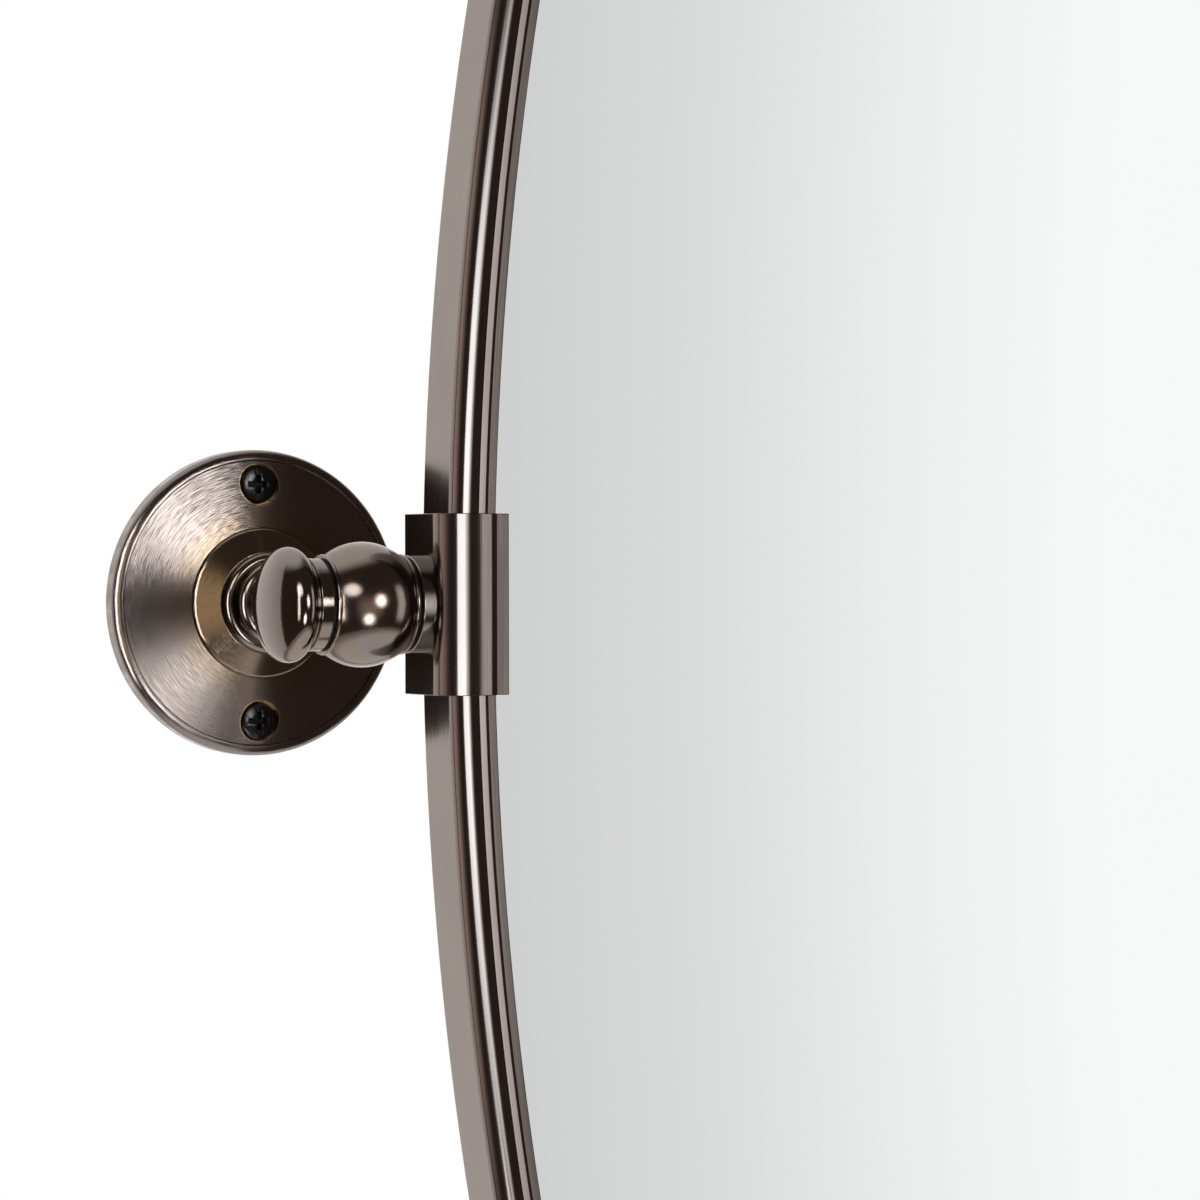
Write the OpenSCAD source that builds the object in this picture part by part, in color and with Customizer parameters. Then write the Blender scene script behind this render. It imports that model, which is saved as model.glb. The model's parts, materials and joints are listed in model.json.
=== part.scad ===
// Pivot wall mirror: an oval mirror in a reeded metal frame, which tilts between two turned brackets.
// X runs to the right, Y into the wall and Z up. The wall is the plane y = 0, and the origin lies on it,
// midway between the brackets and level with the pivots. Millimetres.

/* [Oval frame] */
// Width over the frame
frame_w = 610; // [420:1:800]
// Height over the frame
frame_h = 914; // [620:1:1200]
// Width of the frame's face, from its outer side to its inner lip
face_w = 10; // [9.6:0.1:14]
// Depth of the flat outer side
side_d = 11.5; // [10.5:0.1:16]
// Thickness of the side wall
side_t = 2; // [1.8:0.1:3]
// Radius of the bead along the outer edge of the face
bead_r = 3; // [2.5:0.1:3.3]
// Radius of the reed beside the bead
reed_r = 1.5; // [1.2:0.1:1.7]
// Distance between the centres of the bead and the reed
reed_step = 3.6; // [3.4:0.05:3.8]
// Thickness of the lip that holds the glass
lip_t = 0.8; // [0.6:0.1:1.2]
// How far the lip's face lies behind the centres of the bead and the reed
lip_drop = 0.5; // [0.3:0.1:0.8]

/* [Glass and back] */
// Thickness of the mirror glass
glass_t = 4; // [3:0.1:5]
// Thickness of the backing board
board_t = 3.2; // [2.5:0.1:4]
// Gap round the glass and the board, inside the side wall
glass_gap = 0.6; // [0.3:0.1:1]
// Number of retaining clips
clip_count = 8; // [6:2:12]
// Length of a retaining clip
clip_l = 16; // [14:0.5:24]
// Width of a retaining clip
clip_w = 15; // [10:0.5:20]
// Thickness of a retaining clip
clip_t = 1.2; // [0.8:0.1:1.5]
// How far a clip's tongue reaches into the side wall
tongue = 1; // [0.6:0.1:1.2]
// Distance from the side wall to a clip's screw
clip_screw_step = 9.5; // [6:0.5:10]
// Thread radius of a clip screw
clip_screw_r = 1.25; // [1:0.05:1.5]

/* [Pivots] */
// Distance from the wall to the pivot axis
pivot_reach = 56.25; // [45:0.25:90]
// Distance from the frame's back to the pivot axis
pivot_inset = 3.55; // [3.2:0.05:8]
// Thread radius of the pivot stud
stud_r = 3; // [2.5:0.1:3.5]
// Depth of the stud's hole in the knob
stud_in_knob = 8; // [5:0.5:9]
// Thickness of the washer between the post's head and the clamp
inner_washer_t = 0.7; // [0.5:0.1:2]
// Thickness of the washer under the knob
outer_washer_t = 0.5; // [0.3:0.1:2]
// Radius of both washers
washer_r = 8.4; // [7:0.1:9]

/* [Wall plates] */
// Radius of a wall plate
plate_r = 30; // [28:0.5:50]
// Height of the plate's upright edge
plate_edge = 3.7; // [3:0.1:8]
// Radius of the rounded shoulder above the edge
shoulder_r = 1.4; // [0.5:0.1:2.5]
// Width of the rim round the plate's face
rim_w = 2.05; // [1.6:0.05:3]
// Depth of the step from the rim to the face
rim_step = 0.4; // [0.1:0.05:0.8]
// Height of the face where it meets the boss
face_h = 7; // [5.5:0.1:12]
// Radius of the boss in the middle of the plate
boss_r = 14.8; // [12:0.1:17]
// Radius of the boss's rounded edge
boss_edge = 0.9; // [0.4:0.1:1.5]
// Height of the seat that the post stands on
seat_h = 10.2; // [9.5:0.1:16]
// Radius of the post's seat
seat_r = 10.6; // [10.2:0.1:12]
// Distance between the two wall screws of a plate
screw_pitch = 46.4; // [44:0.2:80]

/* [Wall screws] */
// Thread radius of a wall screw
wall_screw_r = 2.1; // [1.8:0.1:2.8]
// Radius of the plain shank under the head, which lies in the plate
wall_shank_r = 1.7; // [1.2:0.1:1.7]
// Length of a wall screw under its head
wall_screw_l = 38; // [20:1:60]
// Head radius of a wall screw
wall_head_r = 3.8; // [3.2:0.1:4.5]
// Head height of a wall screw
wall_head_h = 2.3; // [1.8:0.1:3]
// Radius of the head's rounded edge
wall_head_edge = 0.5; // [0.2:0.1:0.8]
// Width of the head's cross recess
recess_w = 1.1; // [0.8:0.1:1.4]
// Height of the screw's seat above the plate's back
wall_head_seat = 3; // [2:0.1:4]

/* [Posts] */
// Radius of the ball at the end of the post
ball_r = 11.7; // [10.5:0.1:16]
// Width of the post's head between its two end faces
head_w = 16.4; // [15.6:0.1:20]
// Radius of the rings at both ends of the head
ring_r = 9.4; // [8.8:0.1:10]
// Width of each ring
ring_w = 0.7; // [0.5:0.1:1.2]
// Radius over the lower bead of the post's foot
foot_r = 9.9; // [9:0.1:10.1]
// Thickness of the lower bead
foot_t = 2.6; // [2:0.1:4]
// Radius over the upper bead of the foot
second_r = 8.5; // [7:0.1:10]
// Thickness of the upper bead
second_t = 3.2; // [2:0.1:4]
// Depth of the groove between the two beads
foot_groove = 1.4; // [0.8:0.1:1.6]
// Width of that groove
groove_w = 1.4; // [0.8:0.1:2]
// Shaft radius above the foot
shaft_r0 = 6; // [5.2:0.1:6.6]
// Shaft radius below the ball
shaft_r1 = 6.9; // [6:0.1:7.4]
// Radius over the collar below the ball
collar_r = 7.7; // [7.5:0.1:8.5]
// Thickness of that collar
collar_t = 2.4; // [1.5:0.1:4]
// Radius of the spigot under the foot
spigot_r = 5; // [4.5:0.1:6]
// Length of that spigot
spigot_l = 4; // [2:0.1:5]
// Thread radius of the screw that holds the post
post_screw_r = 3; // [2.5:0.1:3.2]
// Length of the post screw
post_screw_l = 22; // [16:0.5:30]

/* [Knobs] */
// Radius of the knob's dome
knob_r = 10.8; // [9.5:0.1:16]
// Radius of the dome's rounded edge
knob_edge = 2.8; // [2:0.1:4]
// Distance from the dome's widest place to its tip
dome_h = 5.4; // [4.5:0.1:9]
// Distance from the collar to the dome's widest place
dome_back = 2.9; // [2.8:0.1:5]
// Radius of the knob's collar
knob_collar_r = 8.7; // [7.5:0.1:9.4]
// Length of the collar
knob_collar_l = 3.1; // [2:0.1:6]
// Depth of the groove between the collar and the dome
knob_groove = 0.6; // [0.2:0.1:1]

/* [Clamps] */
// Height of a clamp along the frame
clamp_h = 33.8; // [28:0.2:50]
// Wall of the clamp beside the frame
clamp_side_t = 2.85; // [2.5:0.05:5]
// Wall of the clamp in front of and behind the frame
clamp_wall = 1.7; // [1.4:0.1:3]
// Radius of the clamp's round front edge
clamp_bead_r = 5; // [4.4:0.1:5.6]
// Radius of the cove beside that edge
cove_r = 3.5; // [3:0.1:4]
// Depth of the cove below the top of the round edge
cove_d = 1.1; // [0.8:0.1:1.3]
// Distance between the centres of the cove and of the small reed beside it
cove_step = 1.7; // [1.5:0.05:1.9]
// Radius of that reed
clamp_reed_r = 0.95; // [0.7:0.05:1.1]
// Distance from the centre of the frame's reed to the centre of the clamp's reed
clamp_reed_step = 0.8; // [0.6:0.05:1]
// How far the clamp reaches over the glass past the frame's lip
clamp_overlap = 2.15; // [1.5:0.05:4]
// How far the clamp reaches round the frame's back
clamp_back_w = 7; // [4:0.5:12]
// Radius of the clamp's boss
clamp_boss_r = 9.15; // [8.4:0.05:10]
// Length of the clamp's boss
clamp_boss_l = 2.3; // [1.5:0.1:6]
// Distance between the two clamp screws
clamp_screw_pitch = 24; // [20:0.5:26]
// Thread radius of a clamp screw
clamp_screw_r = 1.5; // [1.25:0.05:2]

/* [Hidden] */

// Radial clearance of a turning or sliding fit, gap at a fixed fit, gap round a wall screw's head,
// material left in front of a hidden screw's tip, and overshoot of a cut
run_fit = 0.08;
seat_fit = 0.1;
head_fit = 0.25;
skin = 0.5;
past = 1;

// Thickness and height of a seam between two arcs of the frame
seam_t = 1;
seam_h = 0.02;

// Faces of a circle, of a sweep along the oval, and degrees between two points of the glass's edge
ROUND = 64;
SWEEP = 360;
EDGE_STEP = 2.5;

GUNMETAL = [0.36, 0.33, 0.32];
DARK_METAL = [0.28, 0.25, 0.24];
BLACK = [0.08, 0.08, 0.08];
ZINC = [0.72, 0.72, 0.7];

// The oval is drawn with three radii, as an ellipse is set out for bending. The side arc ends and the
// shoulder arc starts in direction SIDE_END, and the end arc starts in direction SHOULDER_END.
SIDE_END = 17;
SHOULDER_END = 49;
half_w = frame_w / 2;
half_h = frame_h / 2;
side_r = half_h * half_h / half_w;
rest_w = half_w - side_r * (1 - cos(SIDE_END));
rest_h = half_h - side_r * sin(SIDE_END);
k11 = cos(SIDE_END) - cos(SHOULDER_END);
k12 = cos(SHOULDER_END);
k21 = sin(SHOULDER_END) - sin(SIDE_END);
k22 = 1 - sin(SHOULDER_END);
k_det = k11 * k22 - k12 * k21;
oval_shoulder_r = (rest_w * k22 - rest_h * k12) / k_det;
end_r = (rest_h * k11 - rest_w * k21) / k_det;
side_x = half_w - side_r;
shoulder_x = side_x + (side_r - oval_shoulder_r) * cos(SIDE_END);
shoulder_z = (side_r - oval_shoulder_r) * sin(SIDE_END);
end_z = half_h - end_r;

// Each arc of the oval: radius, centre, first and last direction
ARCS = [
    [side_r, [side_x, 0], -SIDE_END, SIDE_END],
    [oval_shoulder_r, [shoulder_x, shoulder_z], SIDE_END, SHOULDER_END],
    [end_r, [0, end_z], SHOULDER_END, 180 - SHOULDER_END],
    [oval_shoulder_r, [-shoulder_x, shoulder_z], 180 - SHOULDER_END, 180 - SIDE_END],
    [side_r, [-side_x, 0], 180 - SIDE_END, 180 + SIDE_END],
    [oval_shoulder_r, [-shoulder_x, -shoulder_z], 180 + SIDE_END, 180 + SHOULDER_END],
    [end_r, [0, -end_z], 180 + SHOULDER_END, 360 - SHOULDER_END],
    [oval_shoulder_r, [shoulder_x, -shoulder_z], 360 - SHOULDER_END, 360 - SIDE_END],
];
SIDE_ARC = ARCS[0];

// The arc that holds direction a, and the oval's point in that direction, inset from its outer side
function arc_at(a) = [for (arc = ARCS) for (turn = [0, 360]) if (arc[2] <= a - turn && a - turn <= arc[3]) arc][0];
function oval_point(a, inset) = arc_at(a)[1] + (arc_at(a)[0] - inset) * [cos(a), sin(a)];
CLIP_ANGLES = [for (i = [1 : clip_count]) (i - 0.5) * 360 / clip_count];

// The frame's section: u runs inward from its outer side and v forward from its back
lip_v = side_d - lip_drop;
rebate_v = lip_v - lip_t;
reed_u = bead_r + reed_step;
glass_back = rebate_v - glass_t;
board_back = glass_back - board_t;
clip_back = board_back - clip_t;
glass_inset = side_t + glass_gap;

// From the wall: the frame's back. From the post's axis: what lies outward and inward of the post
frame_back = pivot_reach - pivot_inset;
clamp_boss_x = head_w / 2 + inner_washer_t;
clamp_x = clamp_boss_x + clamp_boss_l;
frame_x = clamp_x + clamp_side_t;
post_x = half_w + frame_x;
knob_x = head_w / 2 + outer_washer_t;
dome_x = knob_x + knob_collar_l + dome_back;

// The clamp's section, in the frame's u and v. Its reed is half as deep below the top as the cove.
clamp_top = side_d + bead_r + clamp_wall;
clamp_lip_v = lip_v + clamp_wall;
clamp_lip_u = face_w + clamp_overlap;
clamp_bead_u = clamp_bead_r - clamp_side_t;
clamp_reed_u = reed_u + clamp_reed_step;
clamp_reed_v = clamp_top - cove_d / 2 - clamp_reed_r;
cove_u = clamp_reed_u - cove_step;

// Sizes of the fasteners. A countersunk head is twice as wide as its thread, at 90 degrees.
post_head_r = 2 * post_screw_r;
post_head_h = post_head_r - post_screw_r;
wall_tip = 3 * wall_screw_r;
recess_span = 1.03 * wall_head_r;
recess_d = 0.7 * wall_head_h;
clamp_screw_v = side_d / 2;
clamp_screw_l = side_t + clamp_side_t - skin;
clamp_head_r = 2 * clamp_screw_r;
clamp_head_h = clamp_head_r - clamp_screw_r;
clip_screw_u = side_t + clip_screw_step;
clip_screw_l = clip_t + board_t - skin;
clip_head_r = 2.1 * clip_screw_r;
clip_head_h = clip_screw_r;

// Stands a shape drawn along Z out from the wall
module out_of_wall() {
    rotate([90, 0, 0]) children();
}

// Turns a section drawn as radius and distance along the pivot axis
module turned_on_pivot() {
    translate([0, -pivot_reach, 0]) rotate([0, 90, 0]) rotate_extrude($fn = ROUND) children();
}

// A rod on the pivot axis, from x0 to x1
module pivot_rod(r, x0, x1) {
    translate([x0, -pivot_reach, 0]) rotate([0, 90, 0]) cylinder(r = r, h = x1 - x0, $fn = ROUND);
}

// A rod that stands out from the wall, from height h0 to h1
module wall_rod(r, h0, h1) {
    out_of_wall() translate([0, 0, h0]) cylinder(r = r, h = h1 - h0, $fn = ROUND);
}

// Brings a bracket's piece, drawn with X pointing outward from the post's axis, to its own side
module on_left() {
    translate([-post_x, 0, 0]) mirror([1, 0, 0]) children();
}

module on_right() {
    translate([post_x, 0, 0]) children();
}

// Sweeps a section in u and v along one arc of the oval
module swept(arc, a0, a1) {
    translate([arc[1][0], -frame_back, arc[1][1]]) out_of_wall() rotate([0, 0, a0])
        rotate_extrude(angle = a1 - a0, $fn = SWEEP)
            translate([arc[0], 0]) mirror([1, 0]) children();
}

// A plate with the oval's outline, inset from the outer side, between v0 and v1
module oval_sheet(inset, v0, v1) {
    translate([0, -frame_back - v0, 0]) out_of_wall()
        linear_extrude(v1 - v0)
            polygon([for (a = [0 : EDGE_STEP : 360 - EDGE_STEP]) oval_point(a, inset)]);
}

// Brings a shape with X as u, Y as the direction along the frame and Z as v to direction a of the oval
module on_frame(a) {
    translate([oval_point(a, 0)[0], -frame_back, oval_point(a, 0)[1]]) out_of_wall()
        rotate([0, 0, a]) mirror([1, 0, 0]) children();
}

// ---- Wall plate -----------------------------------------------------------------------------------

module plate_section() {
    rim_r = plate_r - rim_w;
    rim_h = plate_edge + shoulder_r;
    square([plate_r, plate_edge]);
    translate([plate_r - shoulder_r, plate_edge]) circle(shoulder_r, $fn = ROUND);
    translate([rim_r, 0]) square([plate_r - shoulder_r - rim_r, rim_h]);
    polygon([[0, 0], [rim_r, 0], [rim_r, rim_h - rim_step], [boss_r, face_h], [0, face_h]]);
    square([boss_r, face_h + boss_edge / 2]);
    translate([boss_r - boss_edge, face_h + boss_edge / 2]) circle(boss_edge, $fn = ROUND);
    polygon([[0, 0], [boss_r - boss_edge, face_h + 1.5 * boss_edge], [seat_r, seat_h], [0, seat_h]]);
}

module wall_plate() {
    color(GUNMETAL) difference() {
        out_of_wall() rotate_extrude($fn = 2 * ROUND) plate_section();
        wall_rod(spigot_r + seat_fit, seat_h - spigot_l - seat_fit, seat_h + past);
        wall_rod(post_screw_r + seat_fit, -past, seat_h);
        out_of_wall() translate([0, 0, -past])
            cylinder(r1 = post_head_r + seat_fit + past, r2 = post_screw_r + seat_fit, h = post_head_h + past,
                $fn = ROUND);
        for (z = [-screw_pitch / 2, screw_pitch / 2]) translate([0, 0, z]) {
            wall_rod(wall_screw_r + seat_fit, -past, face_h);
            wall_rod(wall_head_r + head_fit, wall_head_seat, face_h + past);
        }
    }
}

// ---- Wall screws ----------------------------------------------------------------------------------

module wall_screw() {
    difference() {
        out_of_wall() rotate_extrude($fn = ROUND) {
            translate([0, wall_head_seat]) square([wall_head_r, wall_head_h - wall_head_edge]);
            translate([0, wall_head_seat]) square([wall_head_r - wall_head_edge, wall_head_h]);
            translate([wall_head_r - wall_head_edge, wall_head_seat + wall_head_h - wall_head_edge])
                circle(wall_head_edge, $fn = ROUND / 2);
            polygon([[0, wall_head_seat], [wall_shank_r, wall_head_seat], [wall_shank_r, 0], [wall_screw_r, 0],
                [wall_screw_r, wall_head_seat - wall_screw_l + wall_tip], [0, wall_head_seat - wall_screw_l]]);
        }
        for (turn = [0, 90])
            translate([0, -wall_head_seat - wall_head_h, 0]) rotate([0, turn, 0])
                cube([recess_span, 2 * recess_d, recess_w], center = true);
    }
}

module wall_screws() {
    color(BLACK) for (z = [-screw_pitch / 2, screw_pitch / 2]) translate([0, 0, z]) wall_screw();
}

// ---- Post -----------------------------------------------------------------------------------------

// A bead of the post's foot: its outer radius, its lower face and its thickness
module foot_bead(r, h, t) {
    translate([0, h]) square([r - t / 2, t]);
    translate([r - t / 2, h + t / 2]) circle(t / 2, $fn = ROUND);
}

module post_section() {
    second_h = seat_h + foot_t + groove_w;
    shaft_h = second_h + second_t;
    collar_h = pivot_reach - ball_r - collar_t / 2;
    foot_bead(foot_r, seat_h, foot_t);
    translate([0, seat_h]) square([second_r - foot_groove, foot_t + groove_w + second_t / 2]);
    foot_bead(second_r, second_h, second_t);
    polygon([[0, seat_h], [shaft_r0, shaft_h - second_t / 2], [shaft_r0, shaft_h],
        [shaft_r1, collar_h], [shaft_r1, pivot_reach - ball_r / 2], [0, pivot_reach]]);
    foot_bead(collar_r, collar_h, collar_t);
}

module head_section() {
    intersection() {
        circle(ball_r, $fn = 2 * ROUND);
        translate([0, ring_w - head_w / 2]) square([ball_r, head_w - 2 * ring_w]);
    }
    translate([0, -head_w / 2]) square([ring_r - ring_w / 2, head_w]);
    for (x = [-1, 1]) translate([ring_r - ring_w / 2, x * (head_w - ring_w) / 2])
        circle(ring_w / 2, $fn = ROUND / 2);
}

module post() {
    color(GUNMETAL) difference() {
        union() {
            out_of_wall() rotate_extrude($fn = ROUND) post_section();
            wall_rod(spigot_r, seat_h - spigot_l, seat_h + past);
            turned_on_pivot() head_section();
        }
        wall_rod(post_screw_r, seat_h - spigot_l - past, post_screw_l + past);
        pivot_rod(stud_r + run_fit, -head_w, head_w);
    }
}

module post_screw() {
    color(ZINC) {
        wall_rod(post_screw_r, 0, post_screw_l);
        out_of_wall() cylinder(r1 = post_head_r, r2 = post_screw_r, h = post_head_h, $fn = ROUND);
    }
}

// ---- Knob, stud and washers -----------------------------------------------------------------------

module knob_section() {
    edge_r = knob_r - knob_edge;
    // Radius of the dome's front, which is tangent to the rounded edge and passes through the tip
    front_r = (edge_r * edge_r + dome_h * dome_h - knob_edge * knob_edge) / (2 * (dome_h - knob_edge));
    neck_r = knob_collar_r - knob_groove;
    collar_end = knob_x + knob_collar_l;
    translate([0, knob_x]) square([knob_collar_r, knob_collar_l - knob_groove]);
    translate([0, knob_x]) square([neck_r, dome_x - knob_x]);
    polygon([[0, collar_end], [knob_collar_r, collar_end], [edge_r, dome_x - knob_edge], [edge_r, dome_x],
        [0, dome_x]]);
    translate([edge_r, dome_x]) circle(knob_edge, $fn = ROUND);
    intersection() {
        translate([0, dome_x + dome_h - front_r]) circle(front_r, $fn = 2 * ROUND);
        translate([0, dome_x]) square([edge_r + knob_edge * edge_r / (front_r - knob_edge), dome_h]);
    }
}

module knob() {
    color(GUNMETAL) difference() {
        turned_on_pivot() knob_section();
        pivot_rod(stud_r, knob_x - past, knob_x + stud_in_knob);
    }
}

module stud() {
    color(ZINC) pivot_rod(stud_r, seat_fit - frame_x, knob_x + stud_in_knob);
}

module outer_washer() {
    color(BLACK) difference() {
        pivot_rod(washer_r, head_w / 2, knob_x);
        pivot_rod(stud_r + run_fit, 0, knob_x + past);
    }
}

module inner_washer() {
    color(BLACK) difference() {
        pivot_rod(washer_r, -clamp_boss_x, -head_w / 2);
        pivot_rod(stud_r + run_fit, -clamp_boss_x - past, 0);
    }
}

// ---- Frame, glass and back ------------------------------------------------------------------------

// The face of the frame's section, with all of its outside moved out by grow
module face_section(grow) {
    translate([bead_r, side_d]) circle(bead_r + grow, $fn = ROUND);
    translate([reed_u, side_d]) circle(reed_r + grow, $fn = ROUND);
    translate([-grow, rebate_v]) square([face_w + 2 * grow, lip_t + grow]);
}

module frame_section(grow = 0) {
    difference() {
        face_section(grow);
        translate([side_t + grow, -past]) square([face_w, rebate_v + past]);
    }
    translate([-grow, 0]) square([side_t + 2 * grow, side_d]);
}

// The frame is bent in arcs. A thin brazed seam, a hair proud of both, closes each joint between two arcs.
module seam(a) {
    on_frame(a) translate([0, seam_t / 2, 0]) rotate([90, 0, 0]) linear_extrude(seam_t) frame_section(seam_h);
}

// Places a clamp's screws or their holes, drawn with Z pointing outward from the frame's inner wall
module at_clamp_screws() {
    for (z = [-clamp_screw_pitch / 2, clamp_screw_pitch / 2])
        translate([-frame_x - side_t, -frame_back - clamp_screw_v, z]) rotate([0, 90, 0]) children();
}

module clamp_screw(fit) {
    cylinder(r = clamp_screw_r + fit, h = clamp_screw_l, $fn = ROUND / 2);
    cylinder(r1 = clamp_head_r + fit, r2 = clamp_screw_r + fit, h = clamp_head_h, $fn = ROUND / 2);
}

// A hole for a clamp screw through the frame's side wall, open to the rebate
module clamp_screw_hole() {
    clamp_screw(seat_fit);
    translate([0, 0, -past]) cylinder(r = clamp_head_r + seat_fit, h = past, $fn = ROUND / 2);
}

module frame() {
    color(DARK_METAL) difference() {
        for (arc = ARCS) {
            gap = seam_t / 4 / arc[0] * 180 / PI;
            swept(arc, arc[2] + gap, arc[3] - gap) frame_section();
            seam(arc[3]);
        }
        for (a = CLIP_ANGLES) on_frame(a)
            translate([side_t - tongue - seat_fit, -clip_w / 2 - seat_fit, clip_back - seat_fit])
                cube([tongue + glass_inset, clip_w + 2 * seat_fit, clip_t + 2 * seat_fit]);
        on_left() at_clamp_screws() clamp_screw_hole();
        on_right() at_clamp_screws() clamp_screw_hole();
    }
}

module glass() {
    color([0.82, 0.84, 0.85]) oval_sheet(glass_inset, glass_back, rebate_v);
}

module backing_board() {
    color([0.4, 0.32, 0.24]) difference() {
        oval_sheet(glass_inset, board_back, glass_back);
        for (a = CLIP_ANGLES) on_frame(a)
            translate([clip_screw_u, 0, -past])
                cylinder(r = clip_screw_r, h = clip_back + clip_screw_l + past, $fn = ROUND / 2);
    }
}

module retaining_clips() {
    color(ZINC) for (a = CLIP_ANGLES) on_frame(a) difference() {
        translate([side_t - tongue, -clip_w / 2, clip_back]) cube([tongue + clip_l, clip_w, clip_t]);
        translate([clip_screw_u, 0, 0])
            cylinder(r = clip_screw_r + seat_fit, h = board_back + past, $fn = ROUND / 2);
    }
}

module clip_screws() {
    color(ZINC) for (a = CLIP_ANGLES) on_frame(a) translate([clip_screw_u, 0, clip_back]) {
        cylinder(r = clip_screw_r, h = clip_screw_l, $fn = ROUND / 2);
        translate([0, 0, -clip_head_h]) cylinder(r = clip_head_r, h = clip_head_h, $fn = ROUND / 2);
    }
}

// ---- Clamp ----------------------------------------------------------------------------------------

// The clamp's outside: a round edge, a cove, a reed and a lip, over a block that wraps the frame's back
module clamp_outline() {
    translate([clamp_bead_u, clamp_top - clamp_bead_r]) circle(clamp_bead_r, $fn = ROUND);
    translate([-clamp_side_t, -clamp_wall])
        square([clamp_side_t + clamp_back_w, clamp_wall + clamp_top - clamp_bead_r]);
    translate([clamp_bead_u, 0])
        square([clamp_reed_u + clamp_reed_r - clamp_bead_u, clamp_reed_v]);
    translate([clamp_bead_u, 0])
        square([clamp_reed_u - clamp_bead_u, clamp_reed_v + clamp_reed_r]);
    translate([clamp_reed_u, clamp_reed_v]) circle(clamp_reed_r, $fn = ROUND);
    square([clamp_lip_u, clamp_lip_v]);
}

module clamp_section() {
    difference() {
        clamp_outline();
        translate([cove_u, clamp_top - cove_d + cove_r]) circle(cove_r, $fn = ROUND);
    }
}

// The room that the frame, the glass and the board take inside the clamp
module clamp_channel() {
    face_section(seat_fit);
    translate([-seat_fit, -seat_fit]) square([side_t + 2 * seat_fit, side_d + seat_fit]);
    translate([side_t, -seat_fit])
        square([clamp_lip_u + past, rebate_v + 2 * seat_fit]);
}

module clamp() {
    color(DARK_METAL) difference() {
        union() {
            translate([-frame_x, -frame_back, -clamp_h / 2]) linear_extrude(clamp_h)
                rotate([0, 0, 180]) clamp_section();
            pivot_rod(clamp_boss_r, -clamp_x - clamp_side_t / 2, -clamp_boss_x);
        }
        translate([-post_x, 0, 0]) swept(SIDE_ARC, -SIDE_END / 2, SIDE_END / 2) clamp_channel();
        pivot_rod(stud_r + run_fit, -frame_x - past, 0);
        at_clamp_screws() clamp_screw(0);
    }
}

module clamp_screws() {
    color(ZINC) at_clamp_screws() clamp_screw(0);
}

on_left() wall_plate();  // left_wall_plate
on_right() wall_plate();  // right_wall_plate
on_left() post();  // left_post
on_right() post();  // right_post
on_left() post_screw();  // left_post_screw
on_right() post_screw();  // right_post_screw
on_left() wall_screws();  // left_wall_screws
on_right() wall_screws();  // right_wall_screws
on_left() knob();  // left_knob
on_right() knob();  // right_knob
on_left() stud();  // left_stud
on_right() stud();  // right_stud
on_left() outer_washer();  // left_outer_washer
on_right() outer_washer();  // right_outer_washer
on_left() inner_washer();  // left_inner_washer
on_right() inner_washer();  // right_inner_washer
on_left() clamp();  // left_clamp
on_right() clamp();  // right_clamp
on_left() clamp_screws();  // left_clamp_screws
on_right() clamp_screws();  // right_clamp_screws
frame();
glass();
backing_board();
retaining_clips();
clip_screws();
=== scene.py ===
"""The looks of the pivot wall mirror: an oval mirror in a reeded gunmetal frame, held by a clamp at each side
between two turned brackets. X runs to the right, Y into the wall and Z up, in metres; sizes are in millimetres
here and are turned into metres where a piece is made."""

import json
from math import acos, asin, atan2, cos, degrees, hypot, pi, radians, sin, sqrt

import bpy
from mathutils import Matrix, Vector

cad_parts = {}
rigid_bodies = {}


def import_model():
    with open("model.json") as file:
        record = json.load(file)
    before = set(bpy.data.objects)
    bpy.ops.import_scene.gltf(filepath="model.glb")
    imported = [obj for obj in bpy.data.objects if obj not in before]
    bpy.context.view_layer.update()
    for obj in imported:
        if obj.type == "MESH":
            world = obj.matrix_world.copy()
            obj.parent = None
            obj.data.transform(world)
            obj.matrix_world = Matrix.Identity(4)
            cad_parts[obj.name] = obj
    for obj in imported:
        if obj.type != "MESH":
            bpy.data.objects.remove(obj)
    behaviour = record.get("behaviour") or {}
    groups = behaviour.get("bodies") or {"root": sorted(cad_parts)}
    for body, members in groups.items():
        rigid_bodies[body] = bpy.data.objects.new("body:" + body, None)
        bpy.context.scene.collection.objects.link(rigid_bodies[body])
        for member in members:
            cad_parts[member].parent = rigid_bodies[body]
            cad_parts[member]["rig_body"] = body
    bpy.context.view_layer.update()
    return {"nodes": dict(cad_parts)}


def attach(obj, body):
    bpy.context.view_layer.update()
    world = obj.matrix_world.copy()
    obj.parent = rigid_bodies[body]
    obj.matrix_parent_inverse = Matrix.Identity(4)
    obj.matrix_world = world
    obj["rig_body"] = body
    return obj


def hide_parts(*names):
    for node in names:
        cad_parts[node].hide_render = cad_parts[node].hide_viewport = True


MM = 0.001
WELD = 2e-6  # points closer than this are one point
TURN = 96  # faces round a turned piece
RIGHT, UP, OUT = Vector((1, 0, 0)), Vector((0, 0, 1)), Vector((0, -1, 0))  # OUT points away from the wall

# ---- Sizes, as in the solids ------------------------------------------------------------------------------

# Oval frame
frame_w, frame_h = 610, 914
face_w, side_d, side_t = 10, 11.5, 2
bead_r, reed_end, reed_h, reed_edge, reed_tilt = 3, 6.9, 1.35, 0.95, 0.05
lip_t, lip_drop, lip_tilt = 0.8, 0.5, 0.04
side_end, shoulder_end = 17, 49

# Glass and back
glass_t, board_t = 4, 3.2
clip_count, clip_l, clip_w, clip_t, tongue, clip_screw_step = 8, 16, 15, 1.2, 1, 9.5
clip_screw_r = 1.25

# Pivots
pivot_reach, pivot_inset = 56.25, 3.55
stud_r, stud_in_knob, inner_washer_t, outer_washer_t, washer_r = 3, 8, 0.7, 0.5, 8.4

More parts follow.
